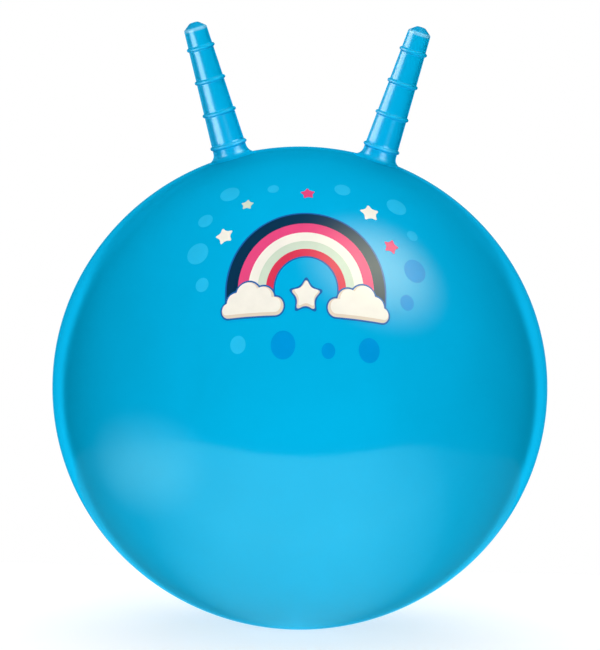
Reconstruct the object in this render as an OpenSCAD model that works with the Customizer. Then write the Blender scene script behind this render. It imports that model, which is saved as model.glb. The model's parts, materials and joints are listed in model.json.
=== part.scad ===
// Inflatable hopper ball with two ringed horns to hold and a stoppered air valve.
// The origin is on the floor under the middle of the ball and +Z is up.
// The front of the ball faces -Y, and the valve is at the middle of the back.
// The ball and its horns are one hollow moulding, divided here at the rings where a horn bends.

/* [Ball] */
// Width of the inflated ball at its widest
ball_w = 500; // [420:5:620]
// Height of the inflated ball before it settles on the floor
ball_h = 488; // [410:2:620]
// Wall of the ball's skin
skin_wall = 1.2; // [0.8:0.1:2.5]
// Width of the flat spot that the ball settles on
contact_w = 64; // [48:2:90]

/* [Horns] */
// Lean of each horn from the vertical, in degrees
horn_lean = 17; // [13:0.5:28]
// Depth below the ball's centre at which the axes of the two horns meet
axis_drop = 7; // [0:1:20]
// Width of a horn where it leaves the ball
horn_root_d = 34.8; // [30:0.2:44]
// Width of a horn at the shoulder of its tip
horn_tip_d = 23.2; // [18:0.2:28]
// Wall of a horn
horn_wall = 1.8; // [1.2:0.1:3]
// Radius of the fillet that runs a horn into the ball
root_fillet = 9; // [5:0.5:11]

/* [Rings] */
// Rings moulded on each horn
ring_count = 4; // [3:1:6]
// Height of the lowest ring above the ball
ring_first = 12.5; // [10:0.5:20]
// Distance from one ring to the next
ring_pitch = 34; // [26:0.5:44]
// Thickness of a ring along the horn
ring_d = 3.8; // [2.4:0.2:6]
// Length of firm tube on each side of a ring that a bend leaves straight
ring_land = 4; // [3.2:0.2:7]

/* [Tip] */
// Length of plain horn from the top ring to the shoulder
tip_l = 20; // [12:0.5:32]
// Rise of the sloped cap above the shoulder
tip_rise = 6; // [3:0.5:10]
// Width of the flat on top of the cap
tip_flat_d = 8.6; // [4:0.2:14]
// Thickness of the closed tip
tip_wall = 2.4; // [1.4:0.1:4]

/* [Valve seat] */
// Width of the soft seat where it shows in the skin
seat_d = 34; // [30:0.5:44]
// Width of the flange that is bonded inside the skin
flange_d = 48; // [46:0.5:64]
// Thickness of the flange at its edge
flange_t = 2; // [1.2:0.2:4]
// Width of the dish that holds the plug's head
dish_d = 22; // [18:0.5:26]
// Depth of the dish below the ball's surface
dish_depth = 3.6; // [3.2:0.2:6]
// Thickness of the seat below the notch
floor_t = 2; // [1:0.2:4]
// Width of the stem that stands inside the ball
stem_d = 18; // [14:0.5:24]
// Length of the stem below the seat's floor
stem_l = 13; // [8:0.5:22]
// Width of the air bore through the seat
bore_d = 8; // [6:0.2:10]
// Width of the notch for lifting the plug's head
notch_w = 8; // [5:0.5:12]
// Reach of the notch on each side of the dish's edge
notch_reach = 3; // [1.5:0.5:3.5]
// Depth of the notch below the floor of the dish
notch_drop = 1.2; // [0.6:0.1:2]

/* [Valve plug] */
// Thickness of the plug's head
head_t = 2.4; // [1.6:0.2:3]
// Length of the plug's straight shank
shank_l = 11; // [7:0.5:18]
// Length of the tapered nose on the shank
nose_l = 3; // [1:0.5:5]
// Width of the nose's end
nose_d = 5; // [3:0.5:5.5]

/* [Fits] */
// Gap left at each bonded or moulded joint of the skin
bond_gap = 0.05; // [0.02:0.01:0.2]
// Gap round the plug's shank in the air bore
shank_gap = 0.1; // [0.05:0.05:0.3]
// Gap round the plug's head in its dish
head_gap = 0.5; // [0.3:0.1:1]

/* [Hidden] */
$fn = 128;
// Facets round the ball, which is far larger than the other rounds
ball_facets = 400;
// Steps along the curve of a root fillet
fillet_steps = 12;

// Sides of the ball on which the horns stand
left = -1;
right = 1;

// Colours of the moulding and of the valve
skin_colour = "#00b1e6";
seat_colour = "#0096c4";
plug_colour = "#f4f4f0";

// Length by which a cutting tool passes the face that it cuts
overrun = 1;

// Ball
ball_r = ball_w / 2;
ball_c = ball_h / 2;
contact_sag = ball_c * (1 - sqrt(1 - pow(contact_w / ball_w, 2)));
centre_z = ball_c - contact_sag;

// Distance along a horn's axis from the point where the two axes meet to the ball's surface
axis_z = centre_z - axis_drop;
ray_a = pow(sin(horn_lean) / ball_r, 2) + pow(cos(horn_lean) / ball_c, 2);
ray_b = axis_drop * cos(horn_lean) / pow(ball_c, 2);
ray_c = pow(axis_drop / ball_c, 2) - 1;
root_s = (ray_b + sqrt(pow(ray_b, 2) - ray_a * ray_c)) / ray_a;

// Heights along a horn, from the ball's surface on its axis
function ring_h(i) = ring_first + i * ring_pitch;
shoulder_h = ring_h(ring_count - 1) + tip_l;
tip_h = shoulder_h + tip_rise;
root_top = ring_h(0) + ring_land;
collar_low = ring_h(1) - ring_land;
collar_top = ring_h(1) + ring_land;
grip_low = ring_h(2) - ring_land;

// Outside radius of a horn at a height, and the bore inside it
taper = (horn_root_d - horn_tip_d) / (2 * shoulder_h);
slant = sqrt(1 + pow(taper, 2));
function horn_r(h) = horn_root_d / 2 - taper * h;
function bore_r(h) = horn_r(h) - horn_wall * slant;

// Root fillet: a circle that touches the horn's side and the ball
side_x = horn_r(0) + root_fillet * slant;
turn_b = root_s - taper * side_x;
turn_c = pow(side_x, 2) + pow(root_s, 2) - pow(root_s + root_fillet, 2);
fillet_h = (sqrt(pow(turn_b, 2) - pow(slant, 2) * turn_c) - turn_b) / pow(slant, 2);
fillet_x = side_x - taper * fillet_h;
horn_angle = 180 + atan(taper);
foot_angle = 180 + atan2(root_s + fillet_h, fillet_x);
function fillet_point(r, angle) = [fillet_x + r * cos(angle), fillet_h + r * sin(angle)];
function fillet_arc(r, from, to) =
  [for (i = [0 : fillet_steps]) fillet_point(r, from + (to - from) * i / fillet_steps)];
foot_r = fillet_x * root_s / (root_s + root_fillet);
foot_drop = root_s - sqrt(pow(root_s, 2) - pow(foot_r, 2));

// Valve
flange_sag = ball_r - sqrt(pow(ball_r, 2) - pow(flange_d / 2, 2));
flange_depth = skin_wall + flange_sag + flange_t;
notch_depth = dish_depth + notch_drop;
floor_depth = max(notch_depth + floor_t, flange_depth);
stem_depth = floor_depth + stem_l;
head_d = dish_d - 2 * head_gap;
shank_d = bore_d - 2 * shank_gap;

// Ball's outline, inset from its surface and resting on the floor
module ball_form(inset) {
  w = ball_w - 2 * inset;
  h = ball_h - 2 * inset;
  difference() {
    translate([0, 0, centre_z])
      rotate_extrude($fn = ball_facets)
        intersection() {
          scale([1, h / w]) circle(d = w, $fn = ball_facets);
          translate([0, -h]) square([w, 2 * h]);
        }
    translate([-w, -w, inset - h]) cube([2 * w, 2 * w, h]);
  }
}

// Places its children on a horn's axis, with height 0 on the ball's surface
module on_horn(side) {
  translate([0, 0, axis_z])
    rotate([0, side * horn_lean, 0])
      translate([0, 0, root_s])
        children();
}

// Places its children on the valve's axis, with +Z pointing out of the ball
module on_valve() {
  translate([0, ball_r, centre_z])
    rotate([-90, 0, 0])
      children();
}

// Half section of a stretch of a horn's wall
module wall_section(low, high) {
  polygon([[bore_r(low), low], [horn_r(low), low], [horn_r(high), high], [bore_r(high), high]]);
}

// Half section of one moulded ring, sunk to the middle of the wall
module ring_section(i) {
  intersection() {
    translate([horn_r(ring_h(i)), ring_h(i)])
      circle(d = ring_d, $fn = 48);
    translate([horn_r(ring_h(i)) - horn_wall / 2, ring_h(i) - ring_d])
      square([ring_d, 2 * ring_d]);
  }
}

// Hollow ball, open to both horns and to the valve seat
module ball_skin() {
  mouth_low = foot_drop + skin_wall + overrun;
  color(skin_colour)
    difference() {
      ball_form(0);
      ball_form(skin_wall);
      for (side = [left, right])
        on_horn(side)
          translate([0, 0, -mouth_low])
            cylinder(r = foot_r + bond_gap, h = mouth_low + overrun);
      on_valve()
        translate([0, 0, -flange_depth])
          cylinder(d = seat_d + 2 * bond_gap, h = flange_depth + overrun);
    }
}

// Root of a horn, with its fillet and its lowest ring
module horn_root(side) {
  color(skin_colour)
    on_horn(side)
      rotate_extrude() {
        polygon(concat(
          fillet_arc(root_fillet + horn_wall, horn_angle, foot_angle),
          fillet_arc(root_fillet, foot_angle, horn_angle),
          [[horn_r(root_top), root_top], [bore_r(root_top), root_top]]
        ));
        ring_section(0);
      }
}

// Plain stretch of a horn that bends
module horn_bend(side, low, high) {
  color(skin_colour)
    on_horn(side)
      rotate_extrude()
        wall_section(low, high);
}

// Firm stretch round the second ring, between the two bends
module horn_collar(side) {
  color(skin_colour)
    on_horn(side)
      rotate_extrude() {
        wall_section(collar_low, collar_top);
        ring_section(1);
      }
}

// Hand grip with the upper rings and the closed tip
module horn_grip(side) {
  inside_high = shoulder_h - tip_wall;
  inside_top = tip_h - tip_wall;
  color(skin_colour)
    on_horn(side)
      rotate_extrude() {
        polygon([
          [bore_r(grip_low), grip_low],
          [horn_r(grip_low), grip_low],
          [horn_r(shoulder_h), shoulder_h],
          [tip_flat_d / 2, tip_h],
          [0, tip_h],
          [0, inside_top],
          [tip_flat_d / 2, inside_top],
          [bore_r(inside_high), inside_high]
        ]);
        for (i = [2 : ring_count - 1]) ring_section(i);
      }
}

// Soft seat bonded into the skin, with a dish for the plug's head and an air bore
module valve_seat() {
  color(seat_colour)
    difference() {
      union() {
        intersection() {
          on_valve()
            translate([0, 0, -floor_depth])
              cylinder(d = seat_d, h = floor_depth + overrun);
          ball_form(0);
        }
        intersection() {
          on_valve()
            translate([0, 0, -flange_depth])
              cylinder(d = flange_d, h = flange_depth + overrun);
          ball_form(skin_wall + bond_gap);
        }
        on_valve()
          translate([0, 0, -stem_depth])
            cylinder(d = stem_d, h = stem_depth - dish_depth);
      }
      on_valve() {
        translate([0, 0, -dish_depth]) cylinder(d = dish_d, h = dish_depth + overrun);
        translate([0, 0, -stem_depth - overrun]) cylinder(d = bore_d, h = stem_depth + overrun);
        translate([-notch_w / 2, dish_d / 2 - notch_reach, -notch_depth])
          cube([notch_w, 2 * notch_reach, notch_depth + overrun]);
      }
    }
}

// Plug that is pushed into the seat to hold the air
module valve_plug() {
  color(plug_colour)
    on_valve() {
      translate([0, 0, -dish_depth]) cylinder(d = head_d, h = head_t);
      translate([0, 0, -dish_depth - shank_l]) cylinder(d = shank_d, h = shank_l);
      translate([0, 0, -dish_depth - shank_l - nose_l]) cylinder(d1 = nose_d, d2 = shank_d, h = nose_l);
    }
}

ball_skin();
horn_root(left);  // left_horn_root
horn_bend(left, root_top, collar_low);  // left_horn_lower_bend
horn_collar(left);  // left_horn_collar
horn_bend(left, collar_top, grip_low);  // left_horn_upper_bend
horn_grip(left);  // left_horn_grip
horn_root(right);  // right_horn_root
horn_bend(right, root_top, collar_low);  // right_horn_lower_bend
horn_collar(right);  // right_horn_collar
horn_bend(right, collar_top, grip_low);  // right_horn_upper_bend
horn_grip(right);  // right_horn_grip
valve_seat();
valve_plug();
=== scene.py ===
import json
from math import acos, atan, atan2, ceil, copysign, cos, dist, hypot, pi, radians, sin, sqrt

import bmesh
import bpy
import numpy as np
from mathutils import Matrix, Vector
from mathutils.geometry import delaunay_2d_cdt


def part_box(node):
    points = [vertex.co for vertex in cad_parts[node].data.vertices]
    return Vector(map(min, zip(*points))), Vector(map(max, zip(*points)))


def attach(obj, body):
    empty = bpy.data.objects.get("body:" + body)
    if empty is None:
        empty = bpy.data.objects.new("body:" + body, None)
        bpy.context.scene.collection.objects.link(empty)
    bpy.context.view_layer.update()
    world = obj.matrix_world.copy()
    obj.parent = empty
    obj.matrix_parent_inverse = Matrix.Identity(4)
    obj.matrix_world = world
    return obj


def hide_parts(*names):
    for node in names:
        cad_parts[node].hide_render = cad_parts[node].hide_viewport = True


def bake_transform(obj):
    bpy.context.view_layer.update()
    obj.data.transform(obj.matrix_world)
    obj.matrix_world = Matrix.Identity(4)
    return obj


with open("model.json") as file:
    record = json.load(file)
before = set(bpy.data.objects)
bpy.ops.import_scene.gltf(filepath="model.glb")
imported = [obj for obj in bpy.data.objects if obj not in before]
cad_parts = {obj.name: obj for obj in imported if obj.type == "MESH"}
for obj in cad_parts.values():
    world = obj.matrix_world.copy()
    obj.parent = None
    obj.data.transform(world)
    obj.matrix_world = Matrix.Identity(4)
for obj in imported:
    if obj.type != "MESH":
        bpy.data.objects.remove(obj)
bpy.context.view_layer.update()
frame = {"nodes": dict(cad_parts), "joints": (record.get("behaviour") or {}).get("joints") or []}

SIDES = {"left": -1, "right": 1}

# Sizes of the ball and the horns, in metres, that the frame's boxes and joints don't give
CONTACT_WIDTH = 0.064
SETTLE_ROUNDING = 0.0003
SKIN_WALL = 0.0012
SEAM_HALF_WIDTH = 0.0010
SEAM_HEIGHT = 0.00012
ROOT_FILLET = 0.009
SKIRT_REACH = 0.0015
SKIRT_LIFT = 0.00003
SKIRT_SINK = 0.00006
ROOT_DEPTH = 0.0015
HORN_MEAN_RADIUS = 0.013
RING_RADIUS = 0.0019
RING_FOOT = 0.0008
TIP_RISE = 0.006
TIP_FLAT_RADIUS = 0.0043
TIP_ROUNDING = 0.0016
SEAM_END_RADIUS = TIP_FLAT_RADIUS * 1.5
HORN_ROW = 0.0016

# Sizes of the valve in metres
SEAT_RADIUS = 0.017
DISH_RADIUS = 0.011
DISH_DEPTH = 0.0036
FLANGE_RADIUS = 0.024
FLANGE_THICKNESS = 0.002
FLOOR_DEPTH = 0.0068
STEM_RADIUS = 0.009
STEM_DEPTH = 0.0198
BORE_RADIUS = 0.004
NOTCH_DROP = 0.0012
NOTCH_REACH = 0.003
NOTCH_HALF_ANGLE = radians(20)
NOTCH_EDGE_ANGLE = radians(3)
NOTCH_EDGE_SHARES = (0, 0.33, 0.67, 1)
NOTCH_CLEAR_ANGLE = radians(1)
HEAD_RADIUS = 0.0105
HEAD_THICKNESS = 0.0024
SHANK_RADIUS = 0.0039
SHANK_LENGTH = 0.011
BEAD_HEIGHT = 0.00008
BEAD_HALF_WIDTH = 0.0012
BEAD_SHARES = (0.35, 0.65)
NOSE_LENGTH = 0.003
NOSE_RADIUS = 0.0025
VALVE_ROUNDING = 0.0004

# Lip of the ball's hole for the seat, as shares of the valve's rounding
LIP_WIDTH_SHARE = 0.3
LIP_DROP_SHARE = 0.25

# Head of the plug from its middle outwards, as shares of its radius and of its thickness below its top
HEAD_SHARES = [(0, 0.15), (0.14, 0.15), (0.18, 0.375), (0.62, 0.375), (0.74, 0),
               (0.9, 0), (1, 0.3), (1, 0.8), (0.94, 1)]

# Counts of mesh rows, columns and steps
BALL_COLUMNS = 288
BALL_ROWS = 176
INSIDE_ROWS = 60
HORN_COLUMNS = 96
VALVE_COLUMNS = 120
SKIRT_ROWS = 6
FILLET_STEPS = 16
RING_FOOT_STEPS = 4
RING_STEPS = 12

# Rows and columns beside the parting line, in half widths of the line, and the stretch that they fill
BALL_SEAM_ROWS = (-1.8, -1.3, -1, -0.75, -0.5, -0.25, 0, 0.25, 0.5, 0.75, 1, 1.3, 1.8)
BALL_SEAM_CLEAR = 2.5
HORN_SEAM_COLUMNS = (-1, -0.5, 0, 0.5, 1)
HORN_SEAM_CLEAR = 1.5

# Edges sharper than this many degrees stay crisp
CREASE = 45
VALVE_CREASE = 60

# Camera, and where the ball lies in the photograph's frame in pixels
FRAME_WIDTH = 600
FRAME_HEIGHT = 650
BALL_CENTRE_PX = (299.9, 388.0)
BALL_WIDTH_PX = 494.8
VIEW_ELEVATION = radians(6)
VIEW_ROLL = radians(1.2)
VIEW_DISTANCE = 8.0
VIEW_CLIP = 32.0
SENSOR_MM = 36.0
TO_CAMERA = Vector((0, -cos(VIEW_ELEVATION), sin(VIEW_ELEVATION)))


def srgb(red, green, blue):
    """Linear colour of an 8-bit display colour."""
    shares = [value / 255 for value in (red, green, blue)]
    linear = [s / 12.92 if s <= 0.04045 else ((s + 0.055) / 1.055) ** 2.4 for s in shares]
    return (*linear, 1.0)


SKIN_COLOUR = srgb(2, 178, 229)
# Rings painted a lighter blue than the skin: a painted highlight
LIT_RING_COLOUR = srgb(8, 184, 236)
# Tip's cap painted a darker blue than the skin: painted shade
SHADED_CAP_COLOUR = srgb(2, 160, 212)
# Pale band just below the tip's shoulder: a painted highlight
SHOULDER_HIGHLIGHT_COLOUR = srgb(120, 205, 243)
SEAT_COLOUR = srgb(4, 146, 196)
PLUG_COLOUR = srgb(240, 240, 234)
INK_COLOURS = {
    "cream": srgb(250, 246, 234),
    "shade": srgb(232, 218, 196),
    "navy": srgb(12, 52, 82),
    "pink": srgb(236, 76, 132),
    "red": srgb(222, 58, 88),
    "green": srgb(211, 226, 206),
    "outline": srgb(30, 100, 175),
    "light_blue": srgb(40, 194, 242),
    "deep_blue": srgb(0, 152, 222),
}

# Noise patterns, as waves to the metre, detail, roughness and any distortion, and the span of values in use
SKIN_CLOUD = (7.0, 4.0, 0.55, 0.4)
SKIN_SMEAR = (11.0, 6.0, 0.62, 1.2)
SKIN_PEEL = (330.0, 2.0, 0.4)
SKIN_WAVE = (22.0, 1.0, 0.4)
VINYL_SPECK = (1400.0, 2.0, 0.5)
HORN_CLOUD = (40.0, 4.0, 0.55, 0.4)
HORN_PEEL = (420.0, 2.0, 0.4)
NOISE_SPAN = (0.3, 0.7)
SMEAR_SPAN = (0.35, 0.75)

# Shares of a colour at the two ends of its pattern, and the share of the fine pattern in it
SKIN_SHADES = (0.955, 1.045)
HORN_SHADES = (0.965, 1.035)
SPECK_SHARE = 0.25

# Roughness at the two ends of its pattern, and bumps as strength and height in metres
SKIN_GLOSS = (0.10, 0.14)
SKIN_RIPPLE = (0.10, 0.0004)
SKIN_SWELL = (0.06, 0.0012)
HORN_RIPPLE = (0.08, 0.0003)

# The same for the glossy ink, which is a little uneven, the satin vinyl of the seat and the satin plug
INK_LOOK = {"pattern": (60.0, 5.0, 0.6), "grain": (1800.0, 1.0, 0.5), "grain_share": 0.3,
            "shades": (0.94, 1.03), "gloss": (0.18, 0.25), "bump": (0.08, 0.0003)}
SEAT_LOOK = {"pattern": (160.0, 4.0, 0.6), "grain": (900.0, 3.0, 0.5),
             "shades": (0.88, 1.1), "gloss": (0.36, 0.5), "bump": (0.15, 0.0003)}
PLUG_LOOK = {"pattern": (240.0, 3.0, 0.5), "grain": (1500.0, 2.0, 0.5),
             "shades": (0.93, 1.0), "gloss": (0.28, 0.4), "bump": (0.1, 0.0002)}

# Looks of a horn by its height in metres: the stretch at its foot where the shine starts, and a painted
# highlight as a pale band just below the tip's shoulder
HEIGHT_MARK = "height"
FOOT_STRETCH = (-0.001, 0.0045)
FOOT_SPECULAR = (0.0, 0.5)
FOOT_GLOSS = (0.34, 0.24)
HORN_SMEAR = (-0.02, 0.02)
RING_DULLNESS = 0.22
TIP_DULLNESS = 0.3
SHOULDER_HIGHLIGHT_RISE = -0.0006
SHOULDER_HIGHLIGHT_WIDTH = 0.0024

# Ball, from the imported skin
ball_low, ball_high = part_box("ball_skin")
BALL_R = (ball_high.x - ball_low.x) / 2
contact_share = CONTACT_WIDTH / (2 * BALL_R)
BALL_C = ball_high.z / (1 + sqrt(1 - contact_share ** 2))
CENTRE = Vector((0, 0, ball_high.z - BALL_C))


def arc(centre, radius, start, end, steps):
    """Points on an arc in a plane, from one angle to another."""
    angles = [start + (end - start) * i / steps for i in range(steps + 1)]
    return [(centre[0] + radius * cos(a), centre[1] + radius * sin(a)) for a in angles]


def around(count, offset=0.0):
    """Angles spaced evenly round a circle, the first of them a share of a step from zero."""
    return [2 * pi * (i + offset) / count for i in range(count)]


def rounded(points, radius, steps=4):
    """An open outline with each inner corner replaced by an arc-like curve of about that radius."""
    longest = 0.45
    made = [points[0]]
    for before, corner, after in zip(points, points[1:], points[2:]):
        a, b, c = Vector(before), Vector(corner), Vector(after)
        reach = min(radius, (a - b).length * longest, (c - b).length * longest)
        start = b + (a - b).normalized() * reach
        end = b + (c - b).normalized() * reach
        for i in range(steps + 1):
            t = i / steps
            made.append(tuple(start * (1 - t) ** 2 + b * 2 * t * (1 - t) + end * t ** 2))
    made.append(points[-1])
    return made


def seam_lift(y):
    """Height of the mould's parting line, which runs round the object in the plane y = 0."""
    if abs(y) >= SEAM_HALF_WIDTH:
        return 0.0
    return SEAM_HEIGHT * (1 + cos(pi * y / SEAM_HALF_WIDTH)) / 2


def turned(profile, angles, place, closed=False):
    """Points and faces of a profile turned round an axis. An end on the axis becomes one point."""
    points, rows = [], []
    for entry in profile:
        if entry[0] == 0:
            rows.append([len(points)] * len(angles))
            points.append(place(entry, 0.0))
        else:
            rows.append(list(range(len(points), len(points) + len(angles))))
            points += [place(entry, angle) for angle in angles]
    pairs = list(zip(rows, rows[1:]))
    if closed:
        pairs.append((rows[-1], rows[0]))
    faces = []
    for low, high in pairs:
        for i in range(len(angles)):
            j = (i + 1) % len(angles)
            faces.append(list(dict.fromkeys((low[i], low[j], high[j], high[i]))))
    return points, faces


def add_object(name, data):
    """A new object in the scene."""
    made = bpy.data.objects.new(name, data)
    bpy.context.scene.collection.objects.link(made)
    return made


def aim(thing, direction):
    """Turns an object's Z axis along a direction, so that a lamp shines the other way."""
    thing.rotation_mode = "QUATERNION"
    thing.rotation_quaternion = Vector(direction).to_track_quat("Z", "Y")


def add_piece(name, points, faces, material, crease=CREASE):
    """A smooth closed mesh whose edges sharper than the crease, in degrees, stay crisp."""
    mesh = bpy.data.meshes.new(name)
    mesh.from_pydata([tuple(p) for p in points], [], faces)
    shape = bmesh.new()
    shape.from_mesh(mesh)
    bmesh.ops.recalc_face_normals(shape, faces=shape.faces)
    shape.to_mesh(mesh)
    shape.free()
    mesh.shade_smooth()
    mesh.set_sharp_from_angle(angle=radians(crease))
    mesh.materials.append(material)
    return add_object(name, mesh)


def add_sheet(name, outline, material):
    """A flat piece of the stage with one face."""
    mesh = bpy.data.meshes.new(name)
    mesh.from_pydata([(x, y, 0.0) for x, y in outline], [], [list(range(len(outline)))])
    mesh.materials.append(material)
    return add_object(name, mesh)


def feed(tree, socket, value):
    """Links a socket to another one, or sets its value."""
    if isinstance(value, bpy.types.NodeSocket):
        tree.links.new(value, socket)
    else:
        socket.default_value = value


def set_inputs(tree, node, **inputs):
    """Sets or links a node's inputs by name, with an underscore for each space."""
    for key, value in inputs.items():
        feed(tree, node.inputs[key.replace("_", " ")], value)


def add_node(tree, kind, settings=None, **inputs):
    """A shader node with its settings, and its inputs set or linked by name."""
    made = tree.nodes.new("ShaderNode" + kind)
    for key, value in (settings or {}).items():
        setattr(made, key, value)
    set_inputs(tree, made, **inputs)
    return made


def math_node(tree, operation, first, *others):
    """Result of an operation on numbers or sockets, taken from left to right, or on one of them."""
    for other in others or (0.0,):
        made = add_node(tree, "Math", {"operation": operation})
        feed(tree, made.inputs[0], first)
        feed(tree, made.inputs[1], other)
        first = made.outputs[0]
    return first


def vector_node(tree, operation, output, *inputs):
    """Result of one operation on vectors."""
    made = add_node(tree, "VectorMath", {"operation": operation})
    for socket, value in zip(made.inputs, inputs):
        feed(tree, socket, value)
    return made.outputs[output]


def ranged(tree, value, low, high, to_low, to_high, smooth=False):
    """A value moved from one range to another and held inside it."""
    style = {"interpolation_type": "SMOOTHSTEP" if smooth else "LINEAR"}
    made = add_node(tree, "MapRange", style, Value=value, From_Min=low, From_Max=high,
                    To_Min=to_low, To_Max=to_high)
    return made.outputs["Result"]


def noise(tree, coords, pattern):
    """A noise pattern between 0 and 1."""
    inputs = dict(zip(("Scale", "Detail", "Roughness", "Distortion"), pattern))
    return add_node(tree, "TexNoise", Vector=coords, **inputs).outputs["Fac"]


def mixed_colour(tree, factor, first, second):
    """Colour between two colours by a factor. Inputs 6 and 7 and output 2 of the node are its colours."""
    made = add_node(tree, "Mix", {"data_type": "RGBA"})
    for i, value in ((0, factor), (6, first), (7, second)):
        feed(tree, made.inputs[i], value)
    return made.outputs[2]


def shaded(tree, tone, colour, shades):
    """A colour that a tone moves between two shares of itself."""
    ends = [(*[min(1.0, c * share) for c in colour[:3]], 1.0) for share in shades]
    return mixed_colour(tree, tone, *ends)


def blended_tone(tree, coarse, fine, fine_share):
    """A tone between 0 and 1 from a coarse pattern and a fine one."""
    slow = ranged(tree, coarse, *NOISE_SPAN, 0.0, 1.0 - fine_share)
    return math_node(tree, "ADD", slow, math_node(tree, "MULTIPLY", fine, fine_share))


def bumped(tree, height, bump, normal=None):
    """Normal of a surface that a pattern raises, over another normal if there is one."""
    strength, distance = bump
    made = add_node(tree, "Bump", Strength=strength, Distance=distance, Height=height)
    if normal:
        feed(tree, made.inputs["Normal"], normal)
    return made.outputs["Normal"]


def joined(tree, first, second, factor=None):
    """Two shaders added up, or mixed where there is a factor."""
    if factor is None:
        made = add_node(tree, "AddShader")
    else:
        made = add_node(tree, "MixShader", Fac=factor)
    for socket, shader in zip(made.inputs[-2:], (first, second)):
        feed(tree, socket, shader.outputs[0])
    return made


def new_material(name):
    """A material, its tree and its object coordinates."""
    material = bpy.data.materials.new(name)
    material.use_nodes = True
    tree = material.node_tree
    return material, tree, add_node(tree, "TexCoord").outputs["Object"]


def set_surface(tree, **inputs):
    """Sets or links the inputs of a material's Principled shader."""
    set_inputs(tree, tree.nodes["Principled BSDF"], **inputs)


def swap_surface(tree, shader):
    """Puts another shader in the place of a material's Principled one."""
    tree.nodes.remove(tree.nodes["Principled BSDF"])
    feed(tree, tree.nodes["Material Output"].inputs["Surface"], shader.outputs[0])


def skin_material():
    """Glossy soft vinyl: cloudy pigment, faint smears in the gloss, a fine ripple and a slow swell."""
    material, tree, coords = new_material("skin_vinyl")
    tone = blended_tone(tree, noise(tree, coords, SKIN_CLOUD), noise(tree, coords, VINYL_SPECK), SPECK_SHARE)
    ripple = bumped(tree, noise(tree, coords, SKIN_PEEL), SKIN_RIPPLE)
    set_surface(
        tree,
        Base_Color=shaded(tree, tone, SKIN_COLOUR, SKIN_SHADES),
        Roughness=ranged(tree, noise(tree, coords, SKIN_SMEAR), *SMEAR_SPAN, *SKIN_GLOSS),
        Normal=bumped(tree, noise(tree, coords, SKIN_WAVE), SKIN_SWELL, ripple),
    )
    return material


def grained_material(name, colour, pattern, grain, shades, gloss, bump, grain_share=0.0):
    """Ink or plastic with a pattern in its colour and gloss, and a fine grain."""
    material, tree, coords = new_material(name)
    coarse, fine = noise(tree, coords, pattern), noise(tree, coords, grain)
    tone = blended_tone(tree, coarse, fine, grain_share) if grain_share else coarse
    set_surface(
        tree,
        Base_Color=shaded(tree, tone, colour, shades),
        Roughness=ranged(tree, coarse, *NOISE_SPAN, *gloss),
        Normal=bumped(tree, fine, bump),
    )
    return material


def horn_material(horn):
    """The skin's vinyl where it is thicker: less glossy than the ball, duller on the rings and the tip. Its
    rings and a band below the tip's shoulder carry painted highlights, and its cap painted shade.
    """
    material, tree, coords = new_material("horn_vinyl")
    height = add_node(tree, "Attribute", {"attribute_name": HEIGHT_MARK}).outputs["Fac"]
    turns = math_node(tree, "DIVIDE", math_node(tree, "SUBTRACT", height, horn.rings[0]), horn.pitch)
    off_ring = math_node(tree, "MULTIPLY", math_node(tree, "PINGPONG", turns, 0.5), horn.pitch)
    ring = ranged(tree, off_ring, RING_RADIUS, RING_RADIUS + RING_FOOT * 2, 1.0, 0.0, True)
    past_shoulder = math_node(tree, "SUBTRACT", height, horn.tip - TIP_RISE)
    cap = ranged(tree, past_shoulder, 0.0, TIP_ROUNDING, 0.0, 1.0)
    # Painted highlight: a pale band just below the tip's shoulder
    off_highlight = math_node(tree, "ABSOLUTE", math_node(tree, "SUBTRACT", past_shoulder, SHOULDER_HIGHLIGHT_RISE))
    edge = ranged(tree, off_highlight, SHOULDER_HIGHLIGHT_WIDTH / 3, SHOULDER_HIGHLIGHT_WIDTH, 1.0, 0.0, True)
    cloudy = noise(tree, coords, HORN_CLOUD)
    tone = blended_tone(tree, cloudy, noise(tree, coords, VINYL_SPECK), SPECK_SHARE)
    colour = shaded(tree, tone, SKIN_COLOUR, HORN_SHADES)
    # Painted light: lighter rings and a pale shoulder band as painted highlights, and a darker cap as
    # painted shade
    for share, region_colour in ((ring, LIT_RING_COLOUR), (cap, SHADED_CAP_COLOUR), (edge, SHOULDER_HIGHLIGHT_COLOUR)):
        colour = mixed_colour(tree, share, colour, region_colour)
    gloss = ranged(tree, height, *FOOT_STRETCH, *FOOT_GLOSS, True)
    smear = ranged(tree, cloudy, *NOISE_SPAN, *HORN_SMEAR)
    ring_dullness = math_node(tree, "MULTIPLY", ring, RING_DULLNESS)
    tip_dullness = ranged(tree, past_shoulder, -TIP_ROUNDING, 0.0, 0.0, TIP_DULLNESS)
    set_surface(
        tree,
        Base_Color=colour,
        Roughness=math_node(tree, "ADD", gloss, smear, ring_dullness, tip_dullness),
        Specular_IOR_Level=ranged(tree, height, *FOOT_STRETCH, *FOOT_SPECULAR, True),
        Normal=bumped(tree, noise(tree, coords, HORN_PEEL), HORN_RIPPLE),
    )
    return material


def on_ball(direction, lift=0.0):
    """Point above the ball's surface along a direction from its centre."""
    d = Vector(direction).normalized()
    reach = 1 / sqrt((d.x ** 2 + d.y ** 2) / BALL_R ** 2 + d.z ** 2 / BALL_C ** 2)
    return CENTRE + d * (reach + lift)


# Rows of the ball, turned about the Y axis from the valve's hole to the front
def ball_rows(count, first, seam):
    """Angles from +Y, with closer rows at the parting line where it is modelled."""
    angles = [first + (pi - first) * i / count for i in range(count + 1)]
    if seam:
        near = [acos(share * SEAM_HALF_WIDTH / BALL_R) for share in BALL_SEAM_ROWS]
        gap = BALL_SEAM_CLEAR * SEAM_HALF_WIDTH / BALL_R
        angles = [a for a in angles if abs(a - pi / 2) > gap] + near
    return sorted(angles)


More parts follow.
